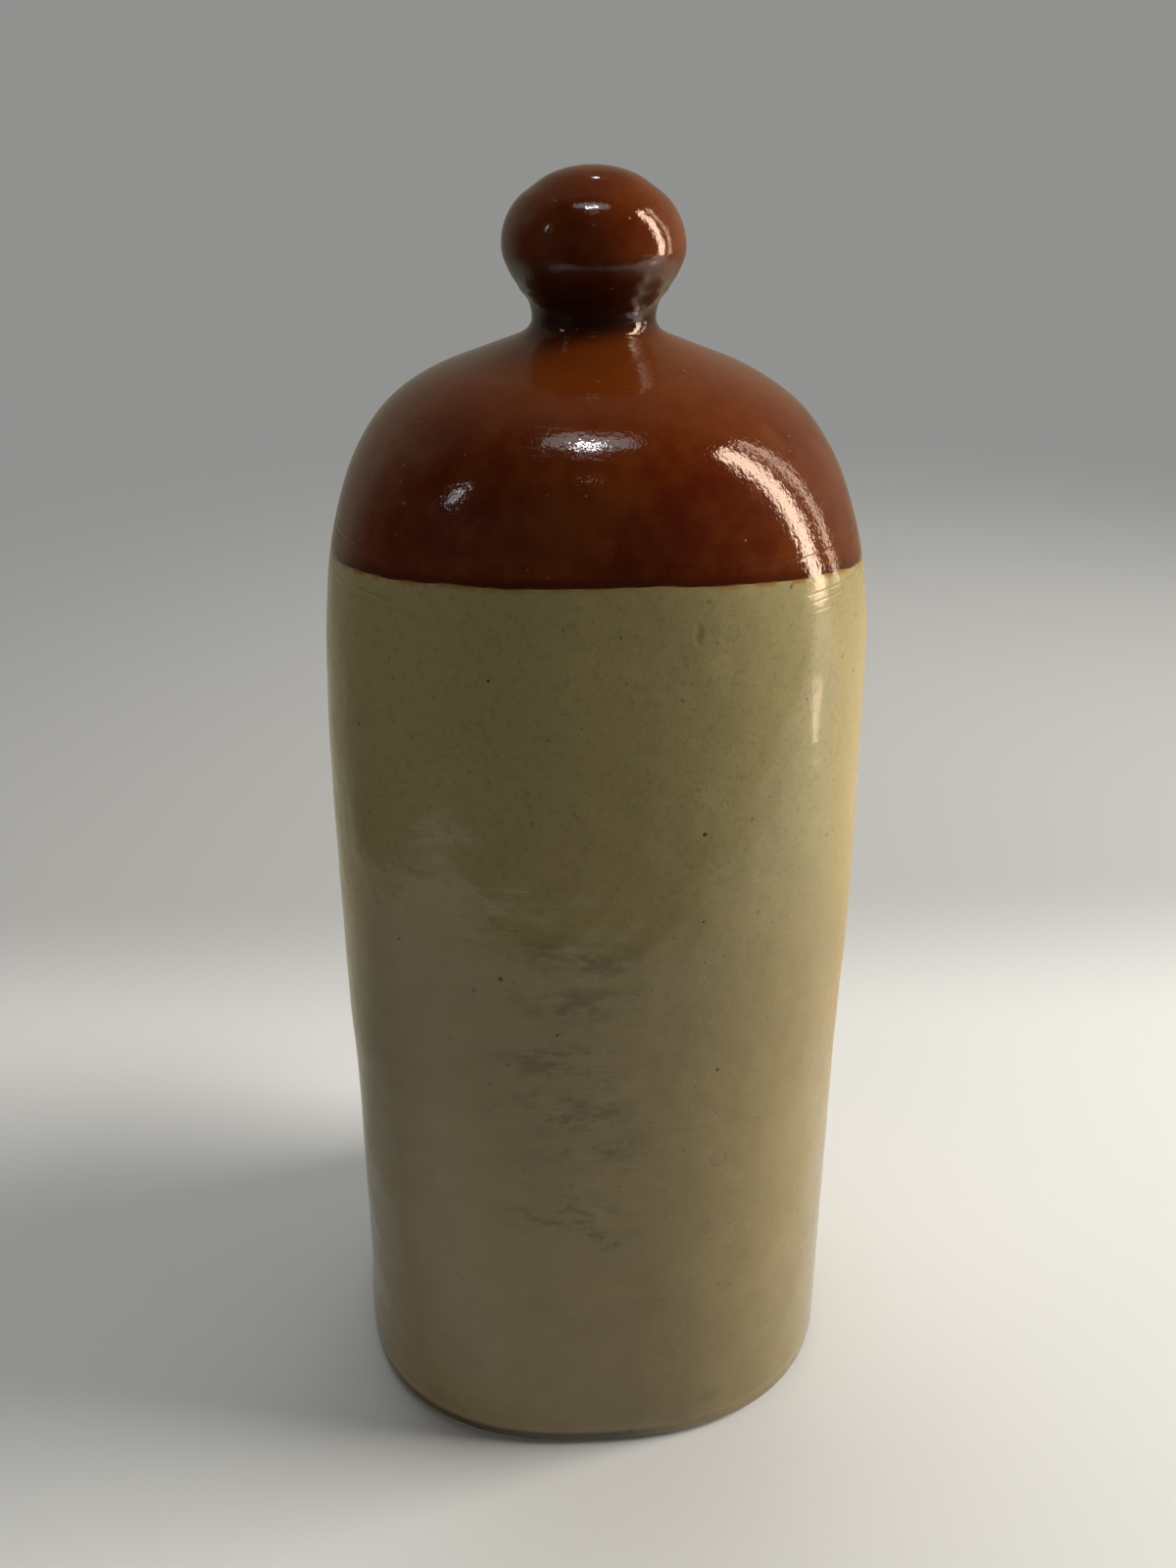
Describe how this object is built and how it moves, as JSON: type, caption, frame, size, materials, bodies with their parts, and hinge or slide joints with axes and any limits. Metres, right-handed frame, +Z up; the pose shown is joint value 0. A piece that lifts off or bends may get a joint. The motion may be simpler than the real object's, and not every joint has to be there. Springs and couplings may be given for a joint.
{
  "type": "stoneware hot water bottle",
  "caption": "Stoneware hot water bottle: flattened cane-glazed barrel, brown domed shoulder with a pulling knob, and a threaded filler in the back shut by a screw stopper on a rubber washer.",
  "frame": {"origin": "middle of the flat foot that the bottle stands on, on the axis of the knob", "axes": "+Z up along the bottle towards the knob, -Y out of the flattened front, +Y out of the filler in the back"},
  "size_m": [0.1218, 0.1288, 0.2787],
  "materials": {
    "cane_glaze": "clear salt-bright glaze over cane-coloured stoneware, with iron specks",
    "brown_glaze": "glossy chestnut-brown dipped glaze",
    "stopper_clay": "cane stoneware, thin satin glaze",
    "red_rubber": "matt red-brown moulded rubber"
  },
  "bodies": {
    "bottle": {"base": "cane_glaze", "barrel": "cane_glaze", "shoulder": "brown_glaze", "handle_knob": "brown_glaze", "filler_collar": "cane_glaze"},
    "washer": {"sealing_washer": "red_rubber"},
    "stopper": {"screw_stopper": "stopper_clay"}
  },
  "joints": [
    {"name": "stopper_lift", "type": "slide", "parent": "bottle", "child": "washer", "axis": [0, 1, 0], "range_m": [0, 0.028]},
    {"name": "stopper_turn", "type": "hinge", "parent": "washer", "child": "stopper", "pos_m": [0, 0.0589, 0.118], "axis": [0, 1, 0], "range_deg": [0, 1440]}
  ],
  "couplings": [
    {"joint": "stopper_lift", "follows": "stopper_turn", "m_per_rad": 0.0011141}
  ]
}
